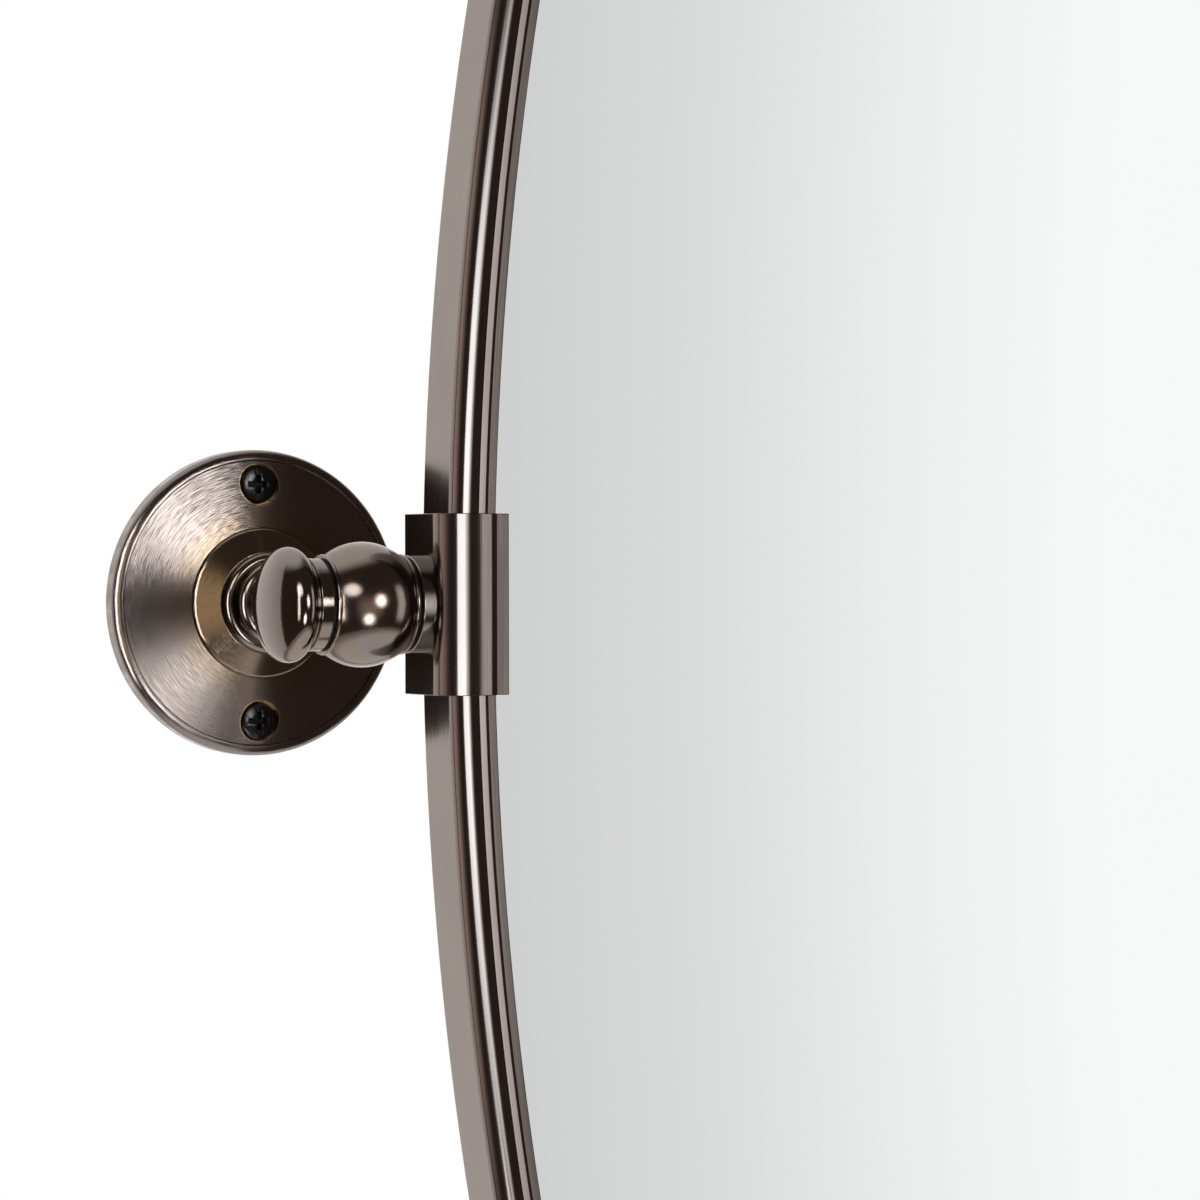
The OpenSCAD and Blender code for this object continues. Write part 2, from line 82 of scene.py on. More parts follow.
# Wall plates
plate_r, plate_edge, shoulder_r = 30, 3.2, 1.9
rim_w, rim_step, face_h = 2.05, 0.4, 7
boss_r, boss_edge, boss_sink, seat_h, seat_r = 14.8, 1.6, 0.3, 10.2, 10.2
screw_pitch = 46.4

# Wall screws
wall_screw_r, wall_shank_r, wall_screw_l = 2.1, 1.7, 38
wall_head_r, wall_head_h, wall_head_edge, wall_head_seat, recess_w = 3.8, 2.3, 0.5, 3, 1.1

# Posts
ball_r, head_w, ring_r, ring_w = 11.7, 16.4, 9.4, 0.7
foot_r, foot_t, second_r, second_t, foot_groove, groove_w = 9.9, 2.6, 8.5, 3.2, 1.4, 1.4
shaft_r0, shaft_r1, collar_r, collar_t = 6, 6.9, 7.7, 2.4
spigot_r, spigot_l, post_screw_r, post_screw_l = 5, 4, 3, 22

# Knobs
knob_r, knob_edge, dome_h, dome_back = 10.8, 2.8, 5.4, 2.9
knob_collar_r, knob_collar_l, knob_groove = 8.7, 3.1, 0.6

# Clamps
clamp_h, clamp_side_t, clamp_wall = 33.8, 2.85, 1.7
clamp_bead_r, cove_r, land_drop, land_edge, land_u = 5, 10, 0.35, 1.8, 7.06
clamp_overlap, clamp_back_w = 2.15, 7
clamp_boss_r, clamp_boss_l = 9.15, 2.3

# Fits
run_fit, seat_fit, head_fit, hair = 0.08, 0.1, 0.25, 0.02

# What follows from them
half_w, half_h = frame_w / 2, frame_h / 2
lip_v = side_d - lip_drop
rebate_v = lip_v - lip_t
glass_back = rebate_v - glass_t
board_back = glass_back - board_t
clip_back = board_back - clip_t
frame_back = pivot_reach - pivot_inset
clamp_boss_x = head_w / 2 + inner_washer_t
clamp_x = clamp_boss_x + clamp_boss_l
frame_x = clamp_x + clamp_side_t
post_x = half_w + frame_x
knob_x = head_w / 2 + outer_washer_t
dome_x = knob_x + knob_collar_l + dome_back


def oval_arcs():
    """The oval's eight arcs, each as radius, centre and first and last direction in degrees."""
    side = half_h * half_h / half_w
    rest_w, rest_h = half_w - side * (1 - cos(radians(side_end))), half_h - side * sin(radians(side_end))
    c0, s0 = cos(radians(side_end)), sin(radians(side_end))
    c1, s1 = cos(radians(shoulder_end)), sin(radians(shoulder_end))
    det = (c0 - c1) * (1 - s1) - c1 * (s1 - s0)
    shoulder = (rest_w * (1 - s1) - rest_h * c1) / det
    end = (rest_h * (c0 - c1) - rest_w * (s1 - s0)) / det
    side_x = half_w - side
    sx, sz = side_x + (side - shoulder) * c0, (side - shoulder) * s0
    return [
        (side, (side_x, 0), -side_end, side_end),
        (shoulder, (sx, sz), side_end, shoulder_end),
        (end, (0, half_h - end), shoulder_end, 180 - shoulder_end),
        (shoulder, (-sx, sz), 180 - shoulder_end, 180 - side_end),
        (side, (-side_x, 0), 180 - side_end, 180 + side_end),
        (shoulder, (-sx, -sz), 180 + side_end, 180 + shoulder_end),
        (end, (0, end - half_h), 180 + shoulder_end, 360 - shoulder_end),
        (shoulder, (sx, -sz), 360 - shoulder_end, 360 - side_end),
    ]


ARCS = oval_arcs()


def on_oval(a, u, v, along=0):
    """The place at direction a of the oval, u inward from its outer side and v forward from the frame's back."""
    arc = next(arc for arc in ARCS for turn in (0, 360) if arc[2] <= a - turn <= arc[3])
    ca, sa = cos(radians(a)), sin(radians(a))
    x, z = arc[1][0] + (arc[0] - u) * ca - along * sa, arc[1][1] + (arc[0] - u) * sa + along * ca
    return Vector((x, -frame_back - v, z)) * MM


# ---- Sections ---------------------------------------------------------------------------------------------

def bow(r, h, radius, first, last, steps=8):
    """Points on an arc of a section, about radius r and height h, between two directions in degrees."""
    turns = [radians(first + (last - first) * i / steps) for i in range(steps + 1)]
    return [(r + radius * cos(t), h + radius * sin(t)) for t in turns]


def bead(r, h, t, first=-90, last=90, steps=14):
    """A half-round bead of thickness t that reaches radius r and starts at height h."""
    return bow(r - t / 2, h + t / 2, t / 2, first, last, steps)


# ---- Modelling steps --------------------------------------------------------------------------------------

def edit(piece):
    bpy.ops.object.select_all(action="DESELECT")
    bpy.context.view_layer.objects.active = piece
    piece.select_set(True)
    bpy.ops.object.mode_set(mode="EDIT")


def drawn(name, points, closed):
    """A new piece, left in edit mode: a point drawn out along the points of a line."""
    bpy.ops.object.select_all(action="DESELECT")
    bpy.ops.mesh.primitive_plane_add(size=MM, location=(0, 0, 0))
    piece = bpy.context.object
    piece.name = piece.data.name = name
    bpy.ops.object.mode_set(mode="EDIT")
    bpy.ops.mesh.merge(type="CENTER")
    bpy.ops.transform.translate(value=points[0])
    for here, there in zip(points, points[1:] + points[:1] if closed else points[1:]):
        bpy.ops.mesh.extrude_region_move(TRANSFORM_OT_translate={"value": there - here})
    bpy.ops.mesh.select_all(action="SELECT")
    return piece


def welded():
    """Merges what lies together in the piece in edit mode and turns its faces outward."""
    bpy.ops.mesh.select_all(action="SELECT")
    bpy.ops.mesh.remove_doubles(threshold=WELD)
    bpy.ops.mesh.normals_make_consistent(inside=False)
    bpy.ops.mesh.select_all(action="DESELECT")
    bpy.ops.object.mode_set(mode="OBJECT")


def turned(name, section, foot, along, closed=False, faces=TURN):
    """A piece turned from a section of radii and heights, about the axis that leaves foot."""
    across = UP if abs(along.z) < 0.5 else RIGHT
    points = [(foot + across * r + along * h) * MM for r, h in section]
    piece = drawn(name, points, closed)
    bpy.ops.mesh.spin(steps=faces, angle=2 * pi, center=foot * MM, axis=along)
    welded()
    return piece


def block(name, points, depth):
    """A prism: the outline through the points, filled and drawn out by depth."""
    piece = drawn(name, points, True)
    bpy.ops.mesh.remove_doubles(threshold=WELD)
    bpy.ops.mesh.edge_face_add()
    bpy.ops.mesh.extrude_region_move(TRANSFORM_OT_translate={"value": depth})
    welded()
    return piece


def modified(piece, kind, **settings):
    """Adds a modifier with these settings and applies it."""
    bpy.ops.object.select_all(action="DESELECT")
    bpy.context.view_layer.objects.active = piece
    piece.select_set(True)
    modifier = piece.modifiers.new(kind.title(), kind)
    for key, value in settings.items():
        setattr(modifier, key, value)
    bpy.ops.object.modifier_apply(modifier=modifier.name)
    return piece


def cut(piece, *tools):
    """Cuts the tools out of the piece and deletes them."""
    for tool in tools:
        modified(piece, "BOOLEAN", operation="DIFFERENCE", object=tool, solver="EXACT")
        bpy.data.objects.remove(tool)
    return piece


def fused(piece, *others):
    """Makes the piece and the others one solid."""
    for other in others:
        modified(piece, "BOOLEAN", operation="UNION", object=other, solver="EXACT")
        bpy.data.objects.remove(other)
    return piece


def softened(piece, width, angle=40, segments=2):
    """Rounds the sharp edges of a piece by a hair."""
    return modified(piece, "BEVEL", width=width * MM, segments=segments, limit_method="ANGLE",
                    angle_limit=radians(angle), harden_normals=False, use_clamp_overlap=True)


def smooth(piece, angle=38):
    bpy.ops.object.select_all(action="DESELECT")
    bpy.context.view_layer.objects.active = piece
    piece.select_set(True)
    bpy.ops.object.shade_smooth_by_angle(angle=radians(angle))
    return modified(piece, "WEIGHTED_NORMAL", keep_sharp=True, weight=50)


def copied(piece, name, move=(0, 0, 0)):
    """A copy of a piece with its own mesh, moved by so many metres."""
    twin = piece.copy()
    twin.data = piece.data.copy()
    twin.name = twin.data.name = name
    bpy.context.scene.collection.objects.link(twin)
    edit(twin)
    bpy.ops.mesh.select_all(action="SELECT")
    bpy.ops.transform.translate(value=move)
    bpy.ops.object.mode_set(mode="OBJECT")
    return twin


def opposite(piece, name):
    """The piece's mirror image on the other side of the middle."""
    twin = copied(piece, name)
    edit(twin)
    bpy.ops.mesh.select_all(action="SELECT")
    bpy.ops.transform.resize(value=(-1, 1, 1), center_override=(0, 0, 0))
    bpy.ops.mesh.flip_normals()
    bpy.ops.object.mode_set(mode="OBJECT")
    return twin


def joined(name, pieces):
    bpy.ops.object.select_all(action="DESELECT")
    for piece in pieces:
        piece.select_set(True)
    bpy.context.view_layer.objects.active = pieces[0]
    bpy.ops.object.join()
    pieces[0].name = pieces[0].data.name = name
    return pieces[0]


def stands_for(piece, node, finish):
    """Gives a finished piece its finish, and puts it in the place of a CAD node, on that node's body."""
    piece.data.materials.clear()
    piece.data.materials.append(finish)
    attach(piece, frame["nodes"][node]["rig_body"])
    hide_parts(node)
    return piece


# ---- Pieces -----------------------------------------------------------------------------------------------

LEFT_FOOT = Vector((-post_x, 0, 0))
LEFT_PIVOT = Vector((-post_x, -pivot_reach, 0))
OUTWARD = Vector((-1, 0, 0))  # away from the mirror, on the left


def wall_plate():
    """The round plate: a rim with a rounded shoulder, a shallow cone, a boss and the post's seat."""
    rim_r, rim_h, break_r = plate_r - rim_w, plate_edge + shoulder_r, 0.15
    edge_v, meets = face_h - boss_sink, degrees(asin(boss_sink / boss_edge))
    edge_u = boss_r - boss_edge * cos(radians(meets))
    slope = degrees(atan2(seat_h - edge_v - boss_edge, edge_u - seat_r))
    fall = degrees(atan2(face_h - rim_h + rim_step, rim_r - boss_r))
    section = [(2 * post_screw_r + seat_fit, 0), (post_screw_r + seat_fit, post_screw_r)]
    section += [(post_screw_r + seat_fit, seat_h - spigot_l), (spigot_r + seat_fit, seat_h - spigot_l)]
    section += [(spigot_r + seat_fit, seat_h), (seat_r - 0.3, seat_h)]
    section += bow(seat_r - 0.3, seat_h - 0.3, 0.3, 90, 90 - slope, 3)[1:]
    section += bow(edge_u, edge_v, boss_edge, 90 - slope, meets, 8)
    section += [(rim_r - break_r, rim_h - rim_step)]
    section += bow(rim_r + break_r, rim_h - break_r, break_r, 180, 90, 4)
    section += bow(plate_r - shoulder_r, plate_edge, shoulder_r, 90, 0, 12)
    section += [(plate_r, 0.4), (plate_r - 0.4, 0)]
    plate = turned("left_plate", section, LEFT_FOOT, OUT, closed=True, faces=2 * TURN)
    head, shank = wall_head_r + head_fit, wall_screw_r + seat_fit
    for z in (-screw_pitch / 2, screw_pitch / 2):
        hole = [(0, -1), (shank, -1), (shank, wall_head_seat), (head, wall_head_seat), (head, face_h + 2),
                (0, face_h + 2)]
        cut(plate, turned("hole", hole, LEFT_FOOT + UP * z, OUT, faces=64))
    return smooth(plate, 30)


def post():
    """The turned post: two beads and a groove at its foot, a shaft that swells upward, a collar and the head."""
    second_h = seat_h + foot_t + groove_w
    shaft_h = second_h + second_t
    collar_h = pivot_reach - ball_r - collar_t / 2
    meets = degrees(acos((shaft_r1 - collar_r + collar_t / 2) / (collar_t / 2)))
    section = [(0, seat_h - spigot_l + seat_fit), (spigot_r, seat_h - spigot_l + seat_fit), (spigot_r, seat_h)]
    section += bead(foot_r, seat_h, foot_t)
    section += [(second_r - foot_groove, seat_h + foot_t), (second_r - foot_groove, second_h)]
    section += bead(second_r, second_h, second_t, -80)
    section += bow(shaft_r0 + 0.5, shaft_h + 0.5, 0.5, 270, 180, 4)
    section += bead(collar_r, collar_h, collar_t, -meets, meets)
    section += [(shaft_r1, pivot_reach - ball_r / 2), (0, pivot_reach - ball_r / 2)]
    shaft = turned("left_post_turned", section, LEFT_FOOT, OUT)

    ring, end = ring_w / 2, head_w / 2
    spread = degrees(asin((end - ring_w) / ball_r))
    head = [(0, -end)] + bow(ring_r - ring, ring - end, ring, -90, 90, 6)
    head += bow(0, 0, ball_r, -spread, spread, 44)
    head += bow(ring_r - ring, end - ring, ring, -90, 90, 6) + [(0, end)]
    ball = turned("head", head, LEFT_PIVOT, OUTWARD)
    fused(shaft, ball)
    bore = [(0, -head_w), (stud_r + run_fit, -head_w), (stud_r + run_fit, head_w), (0, head_w)]
    cut(shaft, turned("bore", bore, LEFT_PIVOT, OUTWARD, faces=48))
    screw_bore = [(0, 0), (post_screw_r, 0), (post_screw_r, post_screw_l + 1), (0, post_screw_l + 2)]
    cut(shaft, turned("bore", screw_bore, LEFT_FOOT, OUT, faces=48))
    return smooth(shaft, 30)


def knob():
    """The knob: a collar with a groove, and a dome whose front is half an ellipse."""
    edge_r, collar_end = knob_r - knob_edge, knob_x + knob_collar_l
    section = [(0, knob_x + stud_in_knob), (stud_r, knob_x + stud_in_knob), (stud_r, knob_x)]
    section += bow(knob_collar_r - 0.25, knob_x + 0.25, 0.25, -90, 0, 4)
    section += bow(knob_collar_r - 0.2, collar_end - knob_groove - 0.2, 0.2, 0, 90, 4)
    section += bow(knob_collar_r - knob_groove / 2, collar_end - knob_groove / 2, knob_groove / 2, 270, 90, 8)
    section += [(edge_r, dome_x - knob_edge)] if edge_r > knob_collar_r else []
    section += bow(edge_r, dome_x, knob_edge, -82, 0, 16)
    section += [(r, dome_x + h * dome_h / knob_r) for r, h in bow(0, 0, knob_r, 0, 90, 40)[1:]]
    return smooth(turned("left_knob_turned", section, LEFT_PIVOT, OUTWARD), 30)


def washer(name, first, last):
    edge, first, last = 0.12, first + hair, last - hair
    section = [(stud_r + run_fit, first)] + bow(washer_r - edge, first + edge, edge, -90, 0, 3)
    section += bow(washer_r - edge, last - edge, edge, 0, 90, 3) + [(stud_r + run_fit, last)]
    return smooth(turned(name, section, LEFT_PIVOT, OUTWARD, closed=True), 30)


def threaded(name, foot, along, crest_r, pitch, length, tip=0.0, turns_off=0):
    """A threaded rod that leaves foot: a core with a ridge wound round it, both drawn in towards a tip."""
    depth = 0.54 * pitch
    core_r = crest_r - depth
    rod = [(0, 0), (core_r, 0), (core_r, length - tip), (core_r * 0.12, length), (0, length)]
    core = turned(name, rod, foot, along, faces=24)
    across = UP if abs(along.z) < 0.5 else RIGHT
    start = pitch * 0.5
    wedge = [(core_r - 0.15, start), (crest_r, start + pitch * 0.36), (crest_r, start + pitch * 0.44),
             (core_r - 0.15, start + pitch * 0.8)]
    count = int((length - tip * 0.35 - 1.5 * pitch) / pitch)
    ridge = drawn("ridge", [(across * r + along * h) * MM for r, h in wedge], True)
    bpy.ops.mesh.remove_doubles(threshold=WELD)
    bpy.ops.object.mode_set(mode="OBJECT")
    axis = max(range(3), key=lambda i: abs(along[i]))
    modified(ridge, "SCREW", axis="XYZ"[axis], angle=2 * pi, screw_offset=pitch * MM * along[axis],
             iterations=count, steps=24, render_steps=24, use_merge_vertices=False)
    for point in ridge.data.vertices:  # the ridge sinks into the tip's cone
        h = point.co.dot(along) / MM
        inset = max(0.0, h - (length - tip)) / tip if tip else 0.0
        axial = along * point.co.dot(along)
        point.co = axial + (point.co - axial) * (1 - inset)
    edit(ridge)
    bpy.ops.mesh.select_all(action="SELECT")
    bpy.ops.transform.translate(value=foot * MM)
    bpy.ops.mesh.select_all(action="DESELECT")
    bpy.ops.mesh.select_non_manifold(extend=False)
    bpy.ops.mesh.fill_holes(sides=4)
    welded()
    return fused(core, ridge)


def cross_tool(top, along, span, width, depth):
    """The tool that presses a cross recess: a plus drawn down from top and drawn in."""
    side = UP if abs(along.z) < 0.5 else RIGHT
    other = along.cross(side)
    w, s = width / 2, span
    outline = [(s, -w), (s, w), (w, w), (w, s), (-w, s), (-w, w), (-s, w), (-s, -w), (-w, -w), (-w, -s),
               (w, -s), (w, -w)]
    points = [(top + along * 0.3 + side * a + other * b) * MM for a, b in outline]
    tool = drawn("tool", points, True)
    bpy.ops.mesh.remove_doubles(threshold=WELD)
    bpy.ops.mesh.edge_face_add()
    bpy.ops.mesh.extrude_region_move(TRANSFORM_OT_translate={"value": along * -(depth + 0.3) * MM})
    bpy.ops.transform.resize(value=(0.62, 0.62, 0.62), center_override=(top - along * depth) * MM)
    welded()
    return tool


def wall_screw(z):
    """A pan-head wood screw with a cross recess, from its seat in the plate into the wall."""
    foot = LEFT_FOOT + UP * z
    top = wall_head_seat + wall_head_h
    head = [(0, wall_head_seat - 0.4), (wall_shank_r, wall_head_seat - 0.4), (wall_shank_r, wall_head_seat)]
    head += [(wall_head_r - 0.15, wall_head_seat), (wall_head_r, wall_head_seat + 0.15)]
    head += bow(wall_head_r - wall_head_edge * 1.6, top - wall_head_edge * 1.6 - 0.18, wall_head_edge * 1.6, 0, 78, 8)
    head += [(wall_head_r * 0.45, top - 0.04), (0, top)]
    screw = turned("wall_screw", head, foot, OUT, faces=64)
    tool = cross_tool(foot + OUT * top, OUT, 1.03 * wall_head_r / 2, recess_w, 0.7 * wall_head_h)
    cut(screw, tool)
    softened(screw, 0.07, 50)
    shank = [(0, wall_head_seat - 0.2), (wall_shank_r, wall_head_seat - 0.2), (wall_shank_r, 0.3),
             (wall_screw_r - 0.85, -0.2), (0, -0.2)]
    length = wall_screw_l - wall_head_seat
    fused(screw, turned("shank", shank, foot, OUT, faces=24),
          threaded("thread", foot, -OUT, wall_screw_r, 1.55, length, 3 * wall_screw_r))
    return smooth(screw, 30)


def flat_screw(name, foot, along, r, pitch, length, socket):
    """A countersunk machine screw with a hexagon socket, its flat head at foot."""
    head = [(0, 0), (2 * r - 0.12, 0), (2 * r, 0.12), (r - 0.2, r + 0.3), (0, r + 0.3)]
    screw = turned(name, head, foot, along, faces=64)
    hexagon = [(0, -1), (socket, -1), (socket, r * 0.8), (0, r)]
    cut(screw, turned("socket", hexagon, foot, along, faces=6))
    fused(screw, threaded("thread", foot + along * r * 0.6, along, r, pitch, length - r * 0.6))
    return smooth(screw, 30)


def stud():
    """The threaded stud that joins the knob, through the post's head, to the clamp."""
    length = knob_x + stud_in_knob + frame_x - 0.1
    rod = threaded("left_stud_threaded", LEFT_PIVOT + RIGHT * (frame_x - 0.1), OUTWARD, stud_r, 1.0, length)
    return smooth(rod, 30)


def face_line(grow):
    """The bead and the flat reed of the frame's section, moved out by grow, down to the lip."""
    b, r = bead_r + grow, reed_edge + grow
    meets = degrees(asin((reed_h - reed_tilt + grow) / b))
    reed = bow(reed_end, side_d + reed_h - reed_edge, r, 92, 0, 6)
    return bow(bead_r, side_d, b, 180, meets, 26) + reed + [(reed_end + r, lip_v + grow)]


def frame_section():
    edge = 0.2
    section = [(0, edge)] + face_line(0)
    section += bow(face_w - edge, lip_v - lip_tilt - edge, edge, 90, 0, 3)
    return section + [(face_w, rebate_v), (side_t, rebate_v), (side_t, edge), (side_t - edge, 0), (edge, 0)]


def oval_frame():
    """The frame: its section swept round the eight arcs of the oval, and closed on itself."""
    frame_piece = drawn("reeded_frame", [on_oval(-side_end, u, v) for u, v in frame_section()], True)
    bpy.ops.mesh.remove_doubles(threshold=WELD)
    for radius, centre, first, last in ARCS:
        steps = max(12, round((last - first) * sqrt(radius) / 16))
        middle = Vector((centre[0], -frame_back, centre[1])) * MM
        bpy.ops.mesh.spin(steps=steps, angle=radians(last - first), center=middle, axis=-OUT)
    welded()
    return smooth(frame_piece, 30)


def clamp_section():
    """The clamp's outline: round edge, cove, land with a round edge and lip, over the block behind the frame."""
    top = side_d + bead_r + clamp_wall
    bead_u, bead_v = clamp_bead_r - clamp_side_t, top - clamp_bead_r
    land_v = top - land_drop
    cove_v = land_v + cove_r
    cove_u = bead_u + sqrt((clamp_bead_r + cove_r) ** 2 - (cove_v - bead_v) ** 2)
    meets = degrees(atan2(cove_v - bead_v, cove_u - bead_u))
    round_v = land_v - land_edge
    lip_top, lip_u = lip_v + clamp_wall, face_w + clamp_overlap
    section = [(clamp_back_w, -clamp_wall), (-clamp_side_t, -clamp_wall)]
    section += bow(bead_u, bead_v, clamp_bead_r, 180, meets, 26)
    section += bow(cove_u, cove_v, cove_r, 180 + meets, 270, 12)[1:]
    section += bow(land_u, round_v, land_edge, 90, 0, 12)
    return section + [(land_u + land_edge, lip_top), (lip_u, lip_top - lip_tilt), (lip_u, 0), (clamp_back_w, 0)]


def clamp():
    """The clamp: its outline drawn out along the frame, with the boss, cut out over the frame's own section."""
    height = Vector((0, 0, clamp_h)) * MM
    corner = Vector((-half_w, -frame_back, -clamp_h / 2))
    points = [(corner + RIGHT * u + OUT * v) * MM for u, v in clamp_section()]
    body = block("left_clamp_milled", points, height)
    softened(body, 0.16, 50)
    boss = [(0, clamp_boss_x)] + bow(clamp_boss_r - 0.3, clamp_boss_x + 0.3, 0.3, -90, 0, 4)
    boss += [(clamp_boss_r, clamp_x + clamp_side_t / 2), (0, clamp_x + clamp_side_t / 2)]
    fused(body, turned("boss", boss, LEFT_PIVOT, -OUTWARD))

    around = face_line(seat_fit)
    channel = [(-seat_fit, -seat_fit)] + around
    channel += [(face_w + seat_fit, lip_v + seat_fit), (face_w + seat_fit, rebate_v + seat_fit)]
    channel += [(face_w + 4, rebate_v + seat_fit), (face_w + 4, -seat_fit)]
    room = drawn("room", [on_oval(180 - side_end / 8, u, v) for u, v in channel], True)
    bpy.ops.mesh.remove_doubles(threshold=WELD)
    bpy.ops.mesh.edge_face_add()
    middle = Vector((ARCS[4][1][0], -frame_back, 0)) * MM
    bpy.ops.mesh.spin(steps=24, angle=radians(side_end / 4), center=middle, axis=-OUT)
    bpy.ops.mesh.edge_face_add()
    welded()
    bore = [(0, 0), (stud_r + run_fit, 0), (stud_r + run_fit, 2 * frame_x), (0, 2 * frame_x)]
    cut(body, room, turned("bore", bore, LEFT_PIVOT, -OUTWARD, faces=48))
    return smooth(body, 30)


def retaining_clip(a):
    """A spring clip at direction a: a plate with rounded corners, its tongue in the frame's side wall."""
    def place(u, along, v):
        return on_oval(a, u, v, along)

    corner = 2
    u0, u1, w = side_t - tongue, side_t + clip_l, clip_w / 2
    outline = [(u0, -w), (u0, w)] + bow(u1 - corner, w - corner, corner, 90, 0, 6)
    outline += bow(u1 - corner, corner - w, corner, 0, -90, 6)
    clip = block("clip", [place(u, along, clip_back) for u, along in outline], OUT * clip_t * MM)
    hole = [(0, -1), (clip_screw_r + seat_fit, -1), (clip_screw_r + seat_fit, 3), (0, 3)]
    middle = place(side_t + clip_screw_step, 0, clip_back) / MM
    cut(clip, turned("hole", hole, middle, OUT, faces=32))
    return smooth(softened(clip, 0.15, 50), 30)


def clip_screw(a):
    """A small pan-head screw with a cross recess, through a clip into the board."""
    foot = on_oval(a, side_t + clip_screw_step, clip_back) / MM
    r, h = 2.1 * clip_screw_r, clip_screw_r
    head = [(0, -0.3), (clip_screw_r, -0.3), (clip_screw_r, 0), (r, 0), (r, h * 0.35)]
    head += bow(r - h * 0.65, h * 0.35, h * 0.65, 0, 80, 6)[1:] + [(0, h)]
    screw = turned("clip_screw", head, foot, -OUT, faces=48)
    cut(screw, cross_tool(foot - OUT * h, -OUT, r * 0.52, 0.55, h * 0.7))
    length = clip_t + board_t - 0.5
    fused(screw, threaded("thread", foot, OUT, clip_screw_r, 0.9, length, 1.5))
    return smooth(screw, 30)


# ---- Shader sums ------------------------------------------------------------------------------------------

class Reading:
    """A number that a node gives, on which sums are written as on any number."""

    def __init__(self, sheet, socket):
        self.sheet, self.socket = sheet, socket

    def sum_of(self, kind, *values):
        inputs = dict(enumerate(values))
        return self.sheet.node("ShaderNodeMath", {"operation": kind}, inputs)[0]

    def __add__(self, other):
        return self.sum_of("ADD", self, other)

    def __sub__(self, other):
        return self.sum_of("SUBTRACT", self, other)

    def __rsub__(self, other):
        return self.sum_of("SUBTRACT", other, self)

    def __mul__(self, other):
        return self.sum_of("MULTIPLY", self, other)

    def __truediv__(self, other):
        return self.sum_of("DIVIDE", self, other)

    def __pow__(self, other):
        return self.sum_of("POWER", self, other)

    __radd__, __rmul__ = __add__, __mul__

    def apart(self):
        """The size of the number, whatever its sign."""
        return self.sum_of("ABSOLUTE", self)

    def sign(self):
        return self.sum_of("SIGN", self)

    def root(self):
        return self.sum_of("SQRT", self)

    def between(self, low, high):
        """0 below low, 1 above high and smooth between them."""
        settings = {"interpolation_type": "SMOOTHSTEP"}
        return self.sheet.node("ShaderNodeMapRange", settings, {0: self, 1: low, 2: high})[0]


class Made:
    """A node that was added: its outputs are read by number or by name."""

    def __init__(self, sheet, node):
        self.sheet, self.raw = sheet, node

    def __getitem__(self, key):
        return Reading(self.sheet, self.raw.outputs[key])


class Sheet:
    """The nodes of a finish, a lamp or the surroundings."""

    def __init__(self, tree):
        self.tree = tree

    def feed(self, node, inputs):
        for key, value in inputs.items():
            if isinstance(value, Reading):
                self.tree.links.new(value.socket, node.inputs[key])
            else:
                node.inputs[key].default_value = value

    def node(self, kind, settings=None, inputs=None):
        """Adds a node of a type, sets its settings and then its inputs."""
        raw = self.tree.nodes.new(kind)
        for key, value in (settings or {}).items():
            if key == "stops":
                for _ in value[2:]:
                    raw.color_ramp.elements.new(0.5)
                for stop, (place, shade) in zip(raw.color_ramp.elements, value):
                    stop.position, stop.color = place, shade
            else:
                setattr(raw, key, value)
        self.feed(raw, inputs or {})
        return Made(self, raw)

    def mix(self, factor, first, second):
        """A colour between two colours."""
        settings = {"data_type": "RGBA"}
        return self.node("ShaderNodeMix", settings, {0: factor, 6: first, 7: second})[2]

    def vector(self, kind, *values):
        return self.node("ShaderNodeVectorMath", {"operation": kind}, dict(enumerate(values)))[0]

    def scaled(self, vector, factor):
        return self.node("ShaderNodeVectorMath", {"operation": "SCALE"}, {0: vector, 3: factor})[0]

    def combined(self, x, y, z):
        return self.node("ShaderNodeCombineXYZ", None, {0: x, 1: y, 2: z})[0]

    def place(self):
        """The point on the piece, and its X, Y and Z."""
        point = self.node("ShaderNodeTexCoord")["Object"]
        parts = self.node("ShaderNodeSeparateXYZ", None, {0: point})
        return point, parts[0], parts[1], parts[2]

    def noise(self, vector, scale, detail=2.0, roughness=0.5):
        inputs = {"Vector": vector, "Scale": scale, "Detail": detail, "Roughness": roughness}
        return self.node("ShaderNodeTexNoise", None, inputs)[0]


class Finish(Sheet):
    """A surface finish on the principled shader."""

    def __init__(self, name, **constants):
        self.material = bpy.data.materials.new(name)
        self.material.use_nodes = True
        super().__init__(self.material.node_tree)
        self.shader = self.tree.nodes["Principled BSDF"]
        self.feed(self.shader, {key.replace("_", " "): value for key, value in constants.items()})

    def paint(self, **inputs):
        """Feeds the shader's inputs, and gives the finished material."""
        self.feed(self.shader, {key.replace("_", " "): value for key, value in inputs.items()})
        return self.material

    def brushed(self, lengthwise, streaks, depth, waves=None, swing=0.0):
        """A normal that fine scratches, which run lengthwise, tip to either side, and waves tip lengthwise."""
        settings = {"vector_type": "VECTOR", "convert_from": "OBJECT", "convert_to": "WORLD"}
        run = self.node("ShaderNodeVectorTransform", settings, {0: lengthwise})[0]
        normal = self.node("ShaderNodeNewGeometry")["Normal"]
        across = self.vector("NORMALIZE", self.vector("CROSS_PRODUCT", normal, run))
        tipped = self.vector("ADD", normal, self.scaled(across, (streaks - 0.5) * depth))
        if waves:
            tipped = self.vector("ADD", tipped, self.scaled(run, (waves - 0.5) * swing))
        return self.vector("NORMALIZE", tipped)


# ---- Finishes ---------------------------------------------------------------------------------------------

GUNMETAL = (0.30, 0.262, 0.245, 1)
DARK = (0.235, 0.2, 0.187, 1)
BRONZE = (0.27, 0.195, 0.12, 1)
BRASS = (0.62, 0.47, 0.26, 1)


